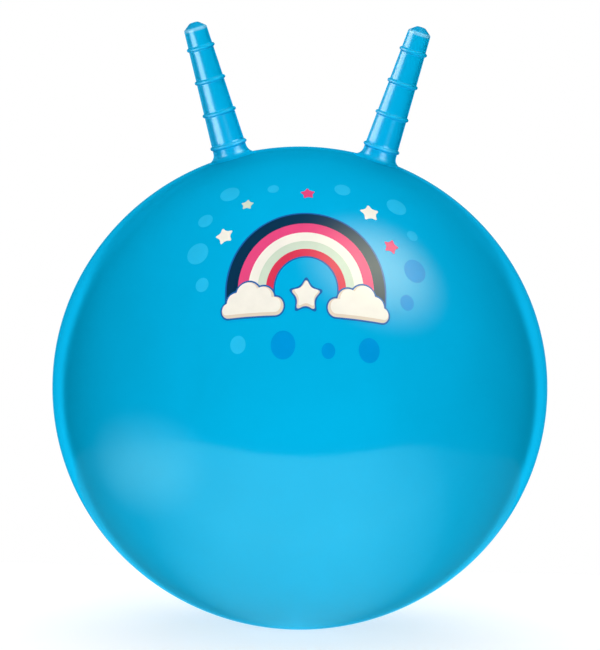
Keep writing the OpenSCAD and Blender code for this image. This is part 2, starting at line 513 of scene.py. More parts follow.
def ball_point(theta, phi, inset):
    """Point on the ball, or inside its wall, with its underside settled flat on the floor."""
    lift = seam_lift(BALL_R * cos(theta)) if inset == 0 else 0.0
    wide, tall = BALL_R - inset + lift, BALL_C - inset + lift
    x = wide * sin(theta) * cos(phi)
    y = wide * cos(theta)
    z = CENTRE.z + tall * sin(theta) * sin(phi) - inset
    flat = (z + sqrt(z * z + SETTLE_ROUNDING * SETTLE_ROUNDING)) / 2
    return Vector((x, y, flat + inset))


def build_ball(material):
    """Hollow skin with a round hole for the valve seat at the middle of the back."""
    hole = SEAT_RADIUS / BALL_R
    lip = VALVE_ROUNDING / BALL_R
    outer = [(1, theta, 0.0) for theta in ball_rows(BALL_ROWS, hole + lip, True)[:-1]]
    inner = [(1, theta, SKIN_WALL) for theta in ball_rows(INSIDE_ROWS, hole, False)[:-1]]
    rim = [(1, hole, VALVE_ROUNDING), (1, hole + lip * LIP_WIDTH_SHARE, VALVE_ROUNDING * LIP_DROP_SHARE)]
    profile = [(0, pi, SKIN_WALL)] + inner[::-1] + rim + outer + [(0, pi, 0.0)]

    def place(entry, phi):
        return ball_point(entry[1], phi, entry[2])

    ball = add_piece("ball", *turned(profile, around(BALL_COLUMNS), place), material)
    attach(ball, "ball")
    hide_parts("ball_skin")


class Horn:
    """One horn's axis and sizes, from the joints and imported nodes. Heights start at the ball's surface."""

    def __init__(self, name):
        self.name = name
        places = {j["name"]: Vector(j["pos_m"]) for j in frame["joints"] if "pos_m" in j}
        low = places[self.name + "_horn_fore_aft"]
        high = places[self.name + "_horn_side"]
        self.axis = (high - low).normalized()
        self.across = Vector((self.axis.z, 0, -self.axis.x))
        self.depth = Vector((0, 1, 0))
        # The foot starts at the lower joint, and then moves down the axis to the ball's surface
        self.foot = low
        self.foot = low + self.axis * self.surface(0.0, 0.0)
        self.pitch = (high - low).length
        middle = ((low + high) / 2 - self.foot).length
        self.rings = [middle + self.pitch * step for step in (-1, 0, 1, 2)]
        self.root_top, self.collar_low, low_radius = self.span("lower_bend")
        self.collar_top, self.grip_low, high_radius = self.span("upper_bend")
        self.tip = self.span("grip")[1]
        self.taper = (low_radius - high_radius) / (self.collar_top - self.root_top)
        self.root_radius = low_radius + self.taper * self.root_top

    def span(self, part):
        """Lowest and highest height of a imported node, and its radius at the lowest."""
        node = frame["nodes"][f"{self.name}_horn_{part}"]
        points = np.array([v.co for v in node.data.vertices]) - np.array(self.foot)
        heights = points @ np.array(self.axis)
        radii = np.linalg.norm(points - np.outer(heights, np.array(self.axis)), axis=1)
        at_low = heights < heights.min() + HORN_ROW / 4
        return float(heights.min()), float(heights.max()), float(radii[at_low].max())

    def radius(self, height):
        """Radius of the plain side at a height."""
        return self.root_radius - self.taper * height

    def point(self, radius, angle, height):
        """Point at a radius, an angle round the axis and a height."""
        out = self.across * cos(angle) + self.depth * sin(angle)
        return self.foot + self.axis * height + out * radius

    def surface(self, radius, angle):
        """Height at which the ball's surface lies at a radius and an angle round the axis."""
        start = self.point(radius, angle, 0.0) - CENTRE
        sizes = Vector((BALL_R, BALL_R, BALL_C))
        o = Vector([s / size for s, size in zip(start, sizes)])
        d = Vector([s / size for s, size in zip(self.axis, sizes)])
        a, b, c = d.dot(d), o.dot(d), o.dot(o) - 1
        return (sqrt(b * b - a * c) - b) / a


def mark_heights(piece, horn):
    """Each point's height up the straight horn, which its material follows however the horn bends."""
    marks = piece.data.attributes.new(HEIGHT_MARK, "FLOAT", "POINT")
    marks.data.foreach_set("value", [(v.co - horn.foot).dot(horn.axis) for v in piece.data.vertices])


def horn_columns():
    """Angles round a horn, closer together at the two parting lines."""
    half_width = SEAM_HALF_WIDTH / HORN_MEAN_RADIUS
    clear = HORN_SEAM_CLEAR * half_width
    lines = [0.0, pi, 2 * pi]
    plain = [a for a in around(HORN_COLUMNS, 0.5) if min(abs(a - line) for line in lines) > clear]
    close = [line + share * half_width for line in (0.0, pi) for share in HORN_SEAM_COLUMNS]
    return sorted(a % (2 * pi) for a in plain + close)


def horn_place(horn):
    """Places a profile entry on a horn, with the parting line raised almost to the tip's flat."""
    def place(entry, angle):
        radius, height = entry
        lift = seam_lift(radius * sin(angle)) if radius > SEAM_END_RADIUS else 0.0
        return horn.point(radius + lift, angle, height)
    return place


def ring_profile(horn, height):
    """Outline of one moulded ring: a half round with small fillets at its foot."""
    foot_u = sqrt(RING_RADIUS ** 2 + 2 * RING_RADIUS * RING_FOOT)
    lean = atan2(RING_FOOT, foot_u)
    below = arc((-foot_u, RING_FOOT), RING_FOOT, -pi / 2, -lean, RING_FOOT_STEPS)
    crown = arc((0, 0), RING_RADIUS, pi - lean, lean, RING_STEPS)
    above = [(-u, w) for u, w in below[::-1]]
    return [(horn.radius(height + u) + w, height + u) for u, w in below + crown[1:-1] + above]


def side_rows(horn, low, high):
    """Plain rows up the side of a horn."""
    count = max(1, round((high - low) / HORN_ROW))
    heights = [low + (high - low) * i / count for i in range(count + 1)]
    return [(horn.radius(h), h) for h in heights]


def ringed_side(horn, low, high):
    """Side of a horn between two heights, with the rings that lie there."""
    made, start = [], low
    for height in horn.rings:
        if low < height < high:
            ring = ring_profile(horn, height)
            made += side_rows(horn, start, ring[0][1])[:-1] + ring
            start = ring[-1][1]
    rest = side_rows(horn, start, high)
    return made + (rest[1:] if made else rest)


def root_profile(horn):
    """Fillet from the ball up to a horn's side, as (radius, height, share of the ball's true shape)."""
    ball_r = BALL_R ** 2 / BALL_C
    slant = hypot(1, horn.taper)
    side_x = horn.root_radius + ROOT_FILLET * slant
    b = ball_r - horn.taper * side_x
    c = side_x ** 2 + ball_r ** 2 - (ball_r + ROOT_FILLET) ** 2
    centre_h = (sqrt(b * b - slant ** 2 * c) - b) / slant ** 2
    centre_x = side_x - horn.taper * centre_h
    start = pi + atan2(ball_r + centre_h, centre_x)
    end = pi + atan(horn.taper)
    fillet = arc((centre_x, centre_h), ROOT_FILLET, start, end, FILLET_STEPS)

    def drop(radius):
        return sqrt(ball_r ** 2 - radius ** 2) - ball_r

    skirt = []
    for i in range(SKIRT_ROWS):
        share = 1 - i / SKIRT_ROWS
        radius = fillet[0][0] + SKIRT_REACH * share
        skirt.append((radius, drop(radius) + SKIRT_LIFT - (SKIRT_LIFT + SKIRT_SINK) * share, 1.0))
    edge_r, edge_h, _ = skirt[0]
    inner = [(0, drop(edge_r) - ROOT_DEPTH, 1.0), (edge_r, edge_h - ROOT_DEPTH, 1.0)]
    curve = []
    for i, (radius, height) in enumerate(fillet):
        share = 1 - i / FILLET_STEPS
        curve.append((radius, height + SKIRT_LIFT * share, share * share * (3 - 2 * share)))
    side = [(r, h, 0.0) for r, h in ringed_side(horn, fillet[-1][1], horn.root_top)[1:]]
    return inner + skirt + curve + side + [(0, horn.root_top, 0.0)], drop


def build_root(horn, angles, material):
    """Root of a horn, which runs into the ball."""
    profile, drop = root_profile(horn)

    def place(entry, angle):
        radius, height, share = entry
        if share:
            height += share * (horn.surface(radius, angle) - drop(radius))
        point = horn.point(radius, angle, height)
        lift = seam_lift(point.y) if radius else 0.0
        out = horn.across * cos(angle) * (1 - share) + horn.axis * share
        return point + out * lift

    root = add_piece(horn.name + "_root", *turned(profile, angles, place), material)
    mark_heights(root, horn)
    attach(root, "ball")
    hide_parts(horn.name + "_horn_root")
    return root


def build_neck(horn, angles, material):
    """Stretch of a horn from its root up to the top of the firm collar round the second ring."""
    side = ringed_side(horn, horn.root_top, horn.collar_top)
    profile = [(0, horn.root_top)] + side + [(0, horn.collar_top)]
    neck = add_piece(horn.name + "_neck", *turned(profile, angles, horn_place(horn)), material)
    mark_heights(neck, horn)
    start, end = horn.point(0, 0, horn.root_top), horn.point(0, 0, horn.collar_low)
    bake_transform(neck)
    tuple(start)
    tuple(end)
    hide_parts(horn.name + "_horn_lower_bend", horn.name + "_horn_collar")
    return neck


def build_grip(horn, angles, material):
    """Stretch of a horn above the collar, with the hand grip and its closed tip."""
    side = ringed_side(horn, horn.collar_top, horn.tip - TIP_RISE)
    flat = [(TIP_FLAT_RADIUS, horn.tip), (TIP_FLAT_RADIUS / 4, horn.tip)]
    cap = rounded(side[-2:] + flat, TIP_ROUNDING)
    profile = [(0, horn.collar_top)] + side[:-1] + cap[1:] + [(0, horn.tip)]
    grip = add_piece(horn.name + "_grip", *turned(profile, angles, horn_place(horn)), material)
    mark_heights(grip, horn)
    start, end = horn.point(0, 0, horn.collar_top), horn.point(0, 0, horn.grip_low)
    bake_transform(grip)
    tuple(start)
    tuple(end)
    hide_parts(horn.name + "_horn_upper_bend", horn.name + "_horn_grip")
    return grip


def valve_point(radius, angle, height):
    """Point on the valve, whose axis points out of the back of the ball. Angle 0 is up."""
    return Vector((radius * sin(angle), BALL_R + height, CENTRE.z + radius * cos(angle)))


def ball_sag(radius):
    """Depth of the ball's surface below its rearmost point."""
    return BALL_R - sqrt(BALL_R ** 2 - radius ** 2)


def valve_columns():
    """Angles round the valve, with columns at the edges of the notch below the plug."""
    reaches = [NOTCH_HALF_ANGLE + share * NOTCH_EDGE_ANGLE for share in NOTCH_EDGE_SHARES]
    edges = [pi + sign * reach for sign in (-1, 1) for reach in reaches]
    plain = [a for a in around(VALVE_COLUMNS) if min(abs(a - e) for e in edges) > NOTCH_CLEAR_ANGLE]
    return sorted(plain + edges)


def build_seat(material):
    """Soft seat in the skin, with a dish for the plug's head, a notch to lift it and an air bore."""
    lip_r = (DISH_RADIUS + SEAT_RADIUS) / 2
    outline = [
        (BORE_RADIUS, -STEM_DEPTH),
        (BORE_RADIUS, -DISH_DEPTH),
        (DISH_RADIUS - NOTCH_REACH, -DISH_DEPTH),
        (DISH_RADIUS, -DISH_DEPTH),
        (DISH_RADIUS, -ball_sag(DISH_RADIUS)),
        (lip_r, -ball_sag(lip_r)),
        (SEAT_RADIUS, -ball_sag(SEAT_RADIUS)),
        (SEAT_RADIUS, -ball_sag(SEAT_RADIUS) - SKIN_WALL),
        (FLANGE_RADIUS, -ball_sag(FLANGE_RADIUS) - SKIN_WALL),
        (FLANGE_RADIUS, -ball_sag(FLANGE_RADIUS) - SKIN_WALL - FLANGE_THICKNESS),
        (SEAT_RADIUS, -FLOOR_DEPTH),
        (STEM_RADIUS, -FLOOR_DEPTH),
        (STEM_RADIUS, -STEM_DEPTH),
        (BORE_RADIUS, -STEM_DEPTH),
    ]
    profile = rounded(outline, VALVE_ROUNDING)[:-1]
    inner, outer = DISH_RADIUS - NOTCH_REACH, DISH_RADIUS + NOTCH_REACH
    floor = -DISH_DEPTH - NOTCH_DROP

    def place(entry, angle):
        radius, height = entry
        side = (abs(angle - pi) - NOTCH_HALF_ANGLE) / NOTCH_EDGE_ANGLE
        share = min(1.0, max(0.0, 1 - side))
        if inner <= radius <= outer and height >= -DISH_DEPTH - VALVE_ROUNDING:
            height += share * (floor - height)
        return valve_point(radius, angle, height)

    points, faces = turned(profile, valve_columns(), place, closed=True)
    seat = add_piece("valve_seat_insert", points, faces, material, VALVE_CREASE)
    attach(seat, "ball")
    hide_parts("valve_seat")


def build_plug(material):
    """Plug with a rimmed head, two sealing beads and a tapered nose."""
    under = -DISH_DEPTH
    top = under + HEAD_THICKNESS
    nose = under - SHANK_LENGTH
    outline = [(HEAD_RADIUS * across, top - HEAD_THICKNESS * down) for across, down in HEAD_SHARES]
    outline.append((SHANK_RADIUS, under))
    for share in BEAD_SHARES:
        middle = under - SHANK_LENGTH * share
        outline += [
            (SHANK_RADIUS, middle + BEAD_HALF_WIDTH),
            (SHANK_RADIUS + BEAD_HEIGHT, middle),
            (SHANK_RADIUS, middle - BEAD_HALF_WIDTH),
        ]
    outline += [(SHANK_RADIUS, nose), (NOSE_RADIUS, nose - NOSE_LENGTH), (0, nose - NOSE_LENGTH)]
    profile = rounded(outline, VALVE_ROUNDING)[::-1]

    def place(entry, angle):
        return valve_point(entry[0], angle, entry[1])

    points, faces = turned(profile, around(VALVE_COLUMNS), place)
    plug = add_piece("valve_stopper", points, faces, material, VALVE_CREASE)
    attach(plug, "plug")
    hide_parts("valve_plug")


# Print on the front of the ball. Its outlines are drawn in metres on a flat sheet that wraps onto the ball.
PRINT_LATITUDE = radians(38.5)
PRINT_SHIFT = 0.004
PRINT_STRETCH = 1.16
PRINT_MESH = 0.005
PRINT_STEP = 0.002
PRINT_CLEAR_SHARE = 0.4
PRINT_TOLERANCE = 1e-7
INSIDE_FACES = 1
INK_ROOT = -0.00005
INK_LIFTS = {"under": 0.00008, "outline": 0.00012, "fill": 0.00017, "detail": 0.00022,
             "cloud_outline": 0.00026, "cloud_shade": 0.00031, "cloud_light": 0.00036}
OUTLINE_WIDTH = 0.0016


def print_point(u, v, lift):
    """Point of the print's sheet wrapped onto the ball."""
    middle = Vector((0, -cos(PRINT_LATITUDE), sin(PRINT_LATITUDE)))
    upward = Vector((0, sin(PRINT_LATITUDE), cos(PRINT_LATITUDE)))
    sheet = Vector((u + PRINT_SHIFT, v * PRINT_STRETCH))
    turn = sheet.length / BALL_R
    if turn == 0:
        return on_ball(middle, lift)
    along = (Vector((1, 0, 0)) * sheet.x + upward * sheet.y) / sheet.length
    return on_ball(middle * cos(turn) + along * sin(turn), lift)


def inside(outline, point):
    """Whether a point lies inside a closed outline."""
    found = False
    x, y = point
    for (x0, y0), (x1, y1) in zip(outline, outline[1:] + outline[:1]):
        if (y0 > y) != (y1 > y) and x < (x1 - x0) * (y - y0) / (y1 - y0) + x0:
            found = not found
    return found


def refined(outline):
    """A closed outline with points no further apart than the print's step."""
    made = []
    for a, b in zip(outline, outline[1:] + outline[:1]):
        count = max(1, ceil(dist(a, b) / PRINT_STEP))
        made += [(a[0] + (b[0] - a[0]) * i / count, a[1] + (b[1] - a[1]) * i / count) for i in range(count)]
    return made


def spread(edge):
    """Points of a closed outline, and a grid of points inside it that keeps clear of its edge."""
    us, vs = zip(*edge)
    points = list(edge)
    for i in range(ceil((max(us) - min(us)) / PRINT_MESH)):
        for j in range(ceil((max(vs) - min(vs)) / PRINT_MESH)):
            spot = (min(us) + (i + 0.5) * PRINT_MESH, min(vs) + (j + 0.5) * PRINT_MESH)
            if inside(edge, spot) and min(dist(spot, p) for p in edge) > PRINT_MESH * PRINT_CLEAR_SHARE:
                points.append(spot)
    return points


def border_sides(faces):
    """Sides that only one face has."""
    sides = {}
    for face in faces:
        for a, b in zip(face, face[1:] + face[:1]):
            if (b, a) in sides:
                del sides[(b, a)]
            else:
                sides[(a, b)] = True
    return list(sides)


def add_ink(name, outline, material, lift):
    """One printed shape: a thin closed patch of ink that follows the ball."""
    edge = refined(outline)
    count = len(edge)
    borders = [(i, (i + 1) % count) for i in range(count)]
    points = [Vector(p) for p in spread(edge)]
    flat = delaunay_2d_cdt(points, borders, [], INSIDE_FACES, PRINT_TOLERANCE)
    sheet, faces = flat[0], flat[2]
    size = len(sheet)
    corners = [print_point(p.x, p.y, height) for height in (lift, INK_ROOT) for p in sheet]
    over = [tuple(face) for face in faces]
    under = [tuple(size + i for i in reversed(face)) for face in faces]
    walls = [(b, a, a + size, b + size) for a, b in border_sides(faces)]
    patch = add_piece(name, corners, over + under + walls, material)
    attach(patch, "ball")


def disc(centre, radius, steps=28):
    """Outline of a round dot."""
    return arc(centre, radius, 0, 2 * pi * (steps - 1) / steps, steps - 1)


def band(centre, inner, outer, leg, steps=48):
    """Outline of an arch with straight legs."""
    x, low = centre[0], centre[1] - leg
    over = arc(centre, outer, 0, pi, steps)
    under = arc(centre, inner, pi, 0, steps)
    return [(x + outer, low)] + over + [(x - outer, low), (x - inner, low)] + under + [(x + inner, low)]


def star(centre, radius, turn=0.0, waist=0.52, softness=0.28):
    """Outline of a plump five-pointed star."""
    corners = 10
    tips = []
    for i in range(corners):
        reach = radius if i % 2 == 0 else radius * waist
        angle = pi / 2 + turn + i * 2 * pi / corners
        tips.append((centre[0] + reach * cos(angle), centre[1] + reach * sin(angle)))
    ring = [tips[-1]] + tips + [tips[0]]
    return rounded(ring, radius * softness, steps=5)[1:-1]


def cloud(centre, puffs, base, grow=0.0, steps=200):
    """Outline of a cloud: the outside of round puffs on a flat base, seen from its middle."""
    ends = [x for x, _, _ in puffs]
    low = base - grow
    made = []
    for angle in around(steps, 0.5):
        c, s = cos(angle), sin(angle)
        reach = 0.0
        for x, y, radius in puffs:
            along, off = x * c + y * s, x * s - y * c
            room = (radius + grow) ** 2 - off ** 2
            if room > 0:
                reach = max(reach, along + sqrt(room))
        if s < 0 and (s * reach < low or min(ends) < low / s * c < max(ends)):
            reach = low / s
        made.append((centre[0] + reach * c, centre[1] + reach * s))
    return made


RAINBOW_CENTRE = (0.0, -0.034)
RAINBOW_OUTER = 0.080
RAINBOW_BANDS = [("navy", 0.0115), ("pink", 0.0105), ("cream", 0.0095), ("green", 0.0085), ("red", 0.0075)]
RAINBOW_LEG = 0.012
STAR_CENTRE = (0.0, -0.040)
STAR_RADIUS = 0.0165
STAR_LIT_CENTRE = (0.0004, -0.0388)
STAR_LIT_RADIUS = 0.0142

# Puffs of the right-hand cloud, as place across, height and radius, and how its lit part differs
CLOUD_PUFFS = [
    (-0.0225, -0.0025, 0.0085),
    (-0.0105, 0.0050, 0.0110),
    (0.0045, 0.0085, 0.0125),
    (0.0165, 0.0020, 0.0100),
    (0.0245, -0.0040, 0.0070),
]
CLOUD_BASE = -0.0110
CLOUD_SPREAD = 0.053
CLOUD_HEIGHT = -0.047
CLOUD_LIT_SHIFT = 0.0012
CLOUD_LIT_SHRINK = 0.00156
CLOUD_LIT_RISE = 0.00312

# Stars as centre, radius, turn and colour, and dots as centre, radius and colour
SMALL_STARS = [
    ((-0.084, 0.026), 0.0105, 0.25, "cream"),
    ((0.086, 0.020), 0.0090, -0.2, "pink"),
    ((-0.062, 0.062), 0.0075, -0.1, "green"),
    ((0.064, 0.056), 0.0115, 0.15, "cream"),
    ((0.000, 0.074), 0.0085, 0.1, "pink"),
]
LOOSE_DOTS = [
    ((-0.112, 0.012), 0.0115, "light_blue"),
    ((-0.106, -0.022), 0.0070, "light_blue"),
    ((-0.106, 0.050), 0.0080, "light_blue"),
    ((-0.082, 0.082), 0.0105, "light_blue"),
    ((-0.036, 0.082), 0.0060, "light_blue"),
    ((0.036, 0.084), 0.0085, "light_blue"),
    ((0.094, 0.074), 0.0110, "light_blue"),
    ((0.110, 0.040), 0.0060, "light_blue"),
    ((0.112, 0.000), 0.0120, "deep_blue"),
    ((0.104, -0.034), 0.0075, "deep_blue"),
    ((0.066, -0.084), 0.0110, "deep_blue"),
    ((0.024, -0.088), 0.0070, "deep_blue"),
    ((-0.022, -0.084), 0.0125, "deep_blue"),
    ((-0.068, -0.082), 0.0080, "light_blue"),
]


def dot_shapes():
    """Loose dots round the rainbow, as name, outline, colour and layer."""
    for i, (centre, radius, colour) in enumerate(LOOSE_DOTS):
        yield f"dot_{i + 1}", disc(centre, radius), colour, "under"


def rainbow_shapes():
    """Bands of the rainbow over a dark outline."""
    inner = RAINBOW_OUTER - sum(width for _, width in RAINBOW_BANDS)
    back = band(RAINBOW_CENTRE, inner - OUTLINE_WIDTH, RAINBOW_OUTER + OUTLINE_WIDTH, RAINBOW_LEG)
    yield "rainbow_outline", back, "outline", "outline"
    outer = RAINBOW_OUTER
    for colour, width in RAINBOW_BANDS:
        yield f"rainbow_{colour}", band(RAINBOW_CENTRE, outer - width, outer, RAINBOW_LEG), colour, "fill"
        outer -= width


def star_shapes():
    """An outlined star under the rainbow, and small plain ones over it."""
    yield "star_outline", star(STAR_CENTRE, STAR_RADIUS + 2 * OUTLINE_WIDTH), "outline", "outline"
    yield "star_shade", star(STAR_CENTRE, STAR_RADIUS), "shade", "fill"
    yield "star", star(STAR_LIT_CENTRE, STAR_LIT_RADIUS), "cream", "detail"
    for i, (centre, radius, turn, colour) in enumerate(SMALL_STARS):
        yield f"small_star_{i + 1}", star(centre, radius, turn), colour, "fill"


def cloud_shapes():
    """Two clouds over the rainbow's feet, shaded along their bases."""
    shift, shrink = CLOUD_LIT_SHIFT, CLOUD_LIT_SHRINK
    for name, side in SIDES.items():
        centre = (side * CLOUD_SPREAD, CLOUD_HEIGHT)
        puffs = [(side * x, y, r) for x, y, r in CLOUD_PUFFS]
        lit = [(x + side * shift, y + shift, r - shrink) for x, y, r in puffs]
        edge = cloud(centre, puffs, CLOUD_BASE, OUTLINE_WIDTH)
        yield f"{name}_cloud_outline", edge, "outline", "cloud_outline"
        yield f"{name}_cloud_shade", cloud(centre, puffs, CLOUD_BASE), "shade", "cloud_shade"
        yield f"{name}_cloud", cloud(centre, lit, CLOUD_BASE + CLOUD_LIT_RISE), "cream", "cloud_light"


def build_print():
    """Rainbow on two clouds, with stars and dots round it."""
    inks = {}
    for name, colour in INK_COLOURS.items():
        inks[name] = grained_material("ink_" + name, colour, **INK_LOOK)
    for shapes in (dot_shapes, rainbow_shapes, star_shapes, cloud_shapes):
        for name, outline, colour, layer in shapes():
            add_ink("print_" + name, outline, inks[colour], INK_LIFTS[layer])


# Lamps, as name, direction to the lamp, strength, width in degrees and colour. They don't show in the gloss.
WHITE_LIGHT = (1.0, 1.0, 1.0)
WARM_LIGHT = (1.0, 0.99, 0.78)
SOFT_LAMPS = [
    ("front_lamp", (0.0, -0.99, 0.10), 0.84, 60, WHITE_LIGHT),
    ("back_fill", (0.0, 1.0, 0.0), 0.18, 180, WHITE_LIGHT),
    ("top_lamp", (0.0, 0.0, 1.0), 0.46, 90, WHITE_LIGHT),
    ("top_back_lamp", (0.0, 0.6, 0.8), 0.27, 60, WHITE_LIGHT),
    ("low_lamp", (0.0, 0.0, -1.0), 0.22, 90, WARM_LIGHT),
    ("low_back_lamp", (0.0, 0.6, -0.8), 0.38, 60, WARM_LIGHT),
    ("back_lamp", (0.0, 0.99, 0.10), 0.22, 60, WHITE_LIGHT),
]

# Key light in the gloss, and the blue rim light behind the object, which fades upwards into a fainter veil
KEY_DIRECTION = Vector((0.477, -0.228, 0.848)).normalized()
KEY_REACH = radians(33)
KEY_STRENGTH = 6.3
KEY_COLOUR = (1.0, 0.96, 0.62, 1.0)
RIM_COLOUR = (0.006, 0.57, 1.0, 1.0)
RIM_EDGE = (0.74, 0.85)
RIM_STRENGTH = (2.1, 0.6)
RIM_TOP = (0.09, 0.25)
VEIL_SHARE = 0.24
VEIL_TOP = (0.27, 0.48)

# Card low on the left: the spot on the ball where it shows, as a direction, and its sizes in metres
SIDE_SPOT = (-0.575, -0.78, -0.24)
SIDE_DISTANCE = 0.15
SIDE_SIZE = (0.19, 0.13)
SIDE_STEPS = 64
SIDE_STRENGTH = 2.15
SIDE_COLOUR = (0.45, 0.95, 0.85, 1.0)

# Floor: a sheet in metres whose rounded outline follows a power, and its looks to the camera
FLOOR_HALF_WIDTH = 0.71
FLOOR_HALF_DEPTH = 0.54
FLOOR_SHIFT = -0.12
FLOOR_POWER = 4
FLOOR_STEPS = 128
PAPER_COLOUR = (0.5, 0.5, 0.5, 1.0)
PAPER_GLOW = 0.64

# Floor as a glow that only the gloss sees: a pool of light in front that weakens with depth and slant, and a
# blue glow at the rear
POOL_COLOUR = (0.40, 0.93, 0.86, 1.0)
POOL_DEPTHS = (-0.25, -0.03)
POOL_STRENGTHS = (1.8, 0.0)
POOL_POINT = 0.12
POOL_SLANTS = (0.3, 1.35)
POOL_SHARES = (1.0, 0.14)
POOL_LEAST = 0.09
REAR_SLOPE = 0.75
REAR_DEPTHS = (-0.13, -0.02)
REAR_STRENGTHS = (0.0, 1.1)


def gloss_ray(tree):
    """1 for the rays that a glossy surface mirrors, and 0 for the others."""
    rays = add_node(tree, "LightPath").outputs
    return math_node(tree, "MAXIMUM", rays["Is Glossy Ray"], rays["Is Transmission Ray"])


def camera_ray(tree):
    """1 for the rays from the camera, and 0 for the others."""
    return add_node(tree, "LightPath").outputs["Is Camera Ray"]


def floor_material():
    """Paper that keeps the object's shadow, and glows in the object's gloss as a pool of light in front and
    a blue glow at the rear.
    """
    material, tree, coords = new_material("floor_paper")
    place = add_node(tree, "SeparateXYZ", Vector=coords).outputs
    off_centre = math_node(tree, "ABSOLUTE", place["X"])
    paper = add_node(tree, "BsdfDiffuse", Color=PAPER_COLOUR)
    paper_glow = math_node(tree, "MULTIPLY", camera_ray(tree), PAPER_GLOW)
    glow = add_node(tree, "Emission", Strength=paper_glow)
    slant = math_node(tree, "DIVIDE", off_centre, math_node(tree, "SUBTRACT", POOL_POINT, place["Y"]))
    depth_part = ranged(tree, place["Y"], *POOL_DEPTHS, *POOL_STRENGTHS)
    slant_part = ranged(tree, slant, *POOL_SLANTS, *POOL_SHARES)
    pool = math_node(tree, "MAXIMUM", math_node(tree, "MULTIPLY", depth_part, slant_part), POOL_LEAST)
    front = add_node(tree, "Emission", Color=POOL_COLOUR, Strength=pool)
    behind = math_node(tree, "SUBTRACT", place["Y"], math_node(tree, "MULTIPLY", off_centre, REAR_SLOPE))
    rear_strength = ranged(tree, behind, *REAR_DEPTHS, *REAR_STRENGTHS, True)
    rear = add_node(tree, "Emission", Color=RIM_COLOUR, Strength=rear_strength)
    seen = joined(tree, paper, glow)
    in_gloss = joined(tree, front, rear)
    both = joined(tree, seen, in_gloss, gloss_ray(tree))
    swap_surface(tree, both)
    return material


def build_floor():
    """A pale sheet under the object that renders white and keeps the object's shadow."""
    outline = []
    for angle in around(FLOOR_STEPS):
        c, s = cos(angle), sin(angle)
        x = FLOOR_HALF_WIDTH * copysign(abs(c) ** (2 / FLOOR_POWER), c)
        y = FLOOR_HALF_DEPTH * copysign(abs(s) ** (2 / FLOOR_POWER), s) + FLOOR_SHIFT
        outline.append((x, y))
    floor = add_sheet("floor", outline, floor_material())
    floor.visible_shadow = False


def build_lamps():
    """Soft lamps that light the object without showing in its gloss."""
    for name, direction, strength, width, colour in SOFT_LAMPS:
        lamp = bpy.data.lights.new(name, "SUN")
        lamp.energy = pi * strength
        lamp.color = colour
        lamp.angle = radians(width)
        lamp.cycles.use_multiple_importance_sampling = False
        sun = add_object(name, lamp)
        aim(sun, direction)
        sun.visible_glossy = False
        sun.visible_transmission = False
        sun.visible_camera = False


def build_world():
    """White to the camera. The gloss mirrors a key light, and a blue rim light behind the object."""
    world = bpy.data.worlds.new("studio")
    bpy.context.scene.world = world
    world.use_nodes = True
    world.cycles.sampling_method = "NONE"
    tree = world.node_tree
    tree.nodes.clear()
    mirror_ray = gloss_ray(tree)
    direction = add_node(tree, "TexCoord").outputs["Generated"]
    parts = add_node(tree, "SeparateXYZ", Vector=direction).outputs
    to_key = vector_node(tree, "DOT_PRODUCT", "Value", direction, KEY_DIRECTION)
    spot = ranged(tree, to_key, cos(KEY_REACH), 1.0, 0.0, 1.0)
    glow = math_node(tree, "MULTIPLY", spot, spot, KEY_STRENGTH, mirror_ray)
    key_light = add_node(tree, "Background", Color=KEY_COLOUR, Strength=glow)
    strength = ranged(tree, parts["Y"], RIM_EDGE[1], 1.0, *RIM_STRENGTH)
    edge = ranged(tree, parts["Y"], *RIM_EDGE, 0.0, 1.0, True)
    fade = ranged(tree, parts["Z"], *RIM_TOP, 1.0 - VEIL_SHARE, 0.0, True)
    veil = ranged(tree, parts["Z"], *VEIL_TOP, VEIL_SHARE, 0.0, True)
    rim = math_node(tree, "MULTIPLY", strength, edge, math_node(tree, "ADD", fade, veil), mirror_ray)
    rim_light = add_node(tree, "Background", Color=RIM_COLOUR, Strength=rim)
    in_gloss = joined(tree, key_light, rim_light)
    white = add_node(tree, "Background", Color=(1, 1, 1, 1))
    both = joined(tree, in_gloss, white, camera_ray(tree))
    add_node(tree, "OutputWorld", Surface=both.outputs[0])


def build_camera():
    """Long-lens camera in front, a little above, tilted as the photograph is."""
    metres_per_px = 2 * BALL_R / BALL_WIDTH_PX
    right = Vector((1, 0, 0))
    up = TO_CAMERA.cross(right)
    rolled_right = right * cos(VIEW_ROLL) + up * sin(VIEW_ROLL)
    rolled_up = up * cos(VIEW_ROLL) - right * sin(VIEW_ROLL)
    off_right = (BALL_CENTRE_PX[0] - FRAME_WIDTH / 2) * metres_per_px
    off_up = (FRAME_HEIGHT / 2 - BALL_CENTRE_PX[1]) * metres_per_px
    target = CENTRE - rolled_right * off_right - rolled_up * off_up
    lens = bpy.data.cameras.new("camera")
    lens.sensor_width = SENSOR_MM
    lens.lens = SENSOR_MM * VIEW_DISTANCE / (FRAME_HEIGHT * metres_per_px)
    lens.clip_end = VIEW_CLIP
    camera = add_object("camera", lens)
    turn = Matrix((rolled_right, rolled_up, TO_CAMERA)).transposed().to_4x4()
    camera.matrix_world = Matrix.Translation(target + TO_CAMERA * VIEW_DISTANCE) @ turn
    bpy.context.scene.camera = camera


# Panels that only one horn mirrors, as (name, pieces, direction, width, strength, colour)
PANEL_DISTANCE = 1.0
PANEL_HEIGHT = 1.2
EDGE_PANEL = ("edge", ("root", "neck", "grip"), (-0.81, 0.59, 0.05), 0.8, 1.2, (0.1, 0.65, 1.0))
HORN_PANELS = {
    "left": [("streak", ("neck", "grip"), (-0.71, -0.66, -0.24), 0.80, 6.2, WHITE_LIGHT), EDGE_PANEL],
    "right": [("streak", ("neck", "grip"), (-0.96, -0.05, 0.25), 1.0, 6.2, WHITE_LIGHT), EDGE_PANEL],
}

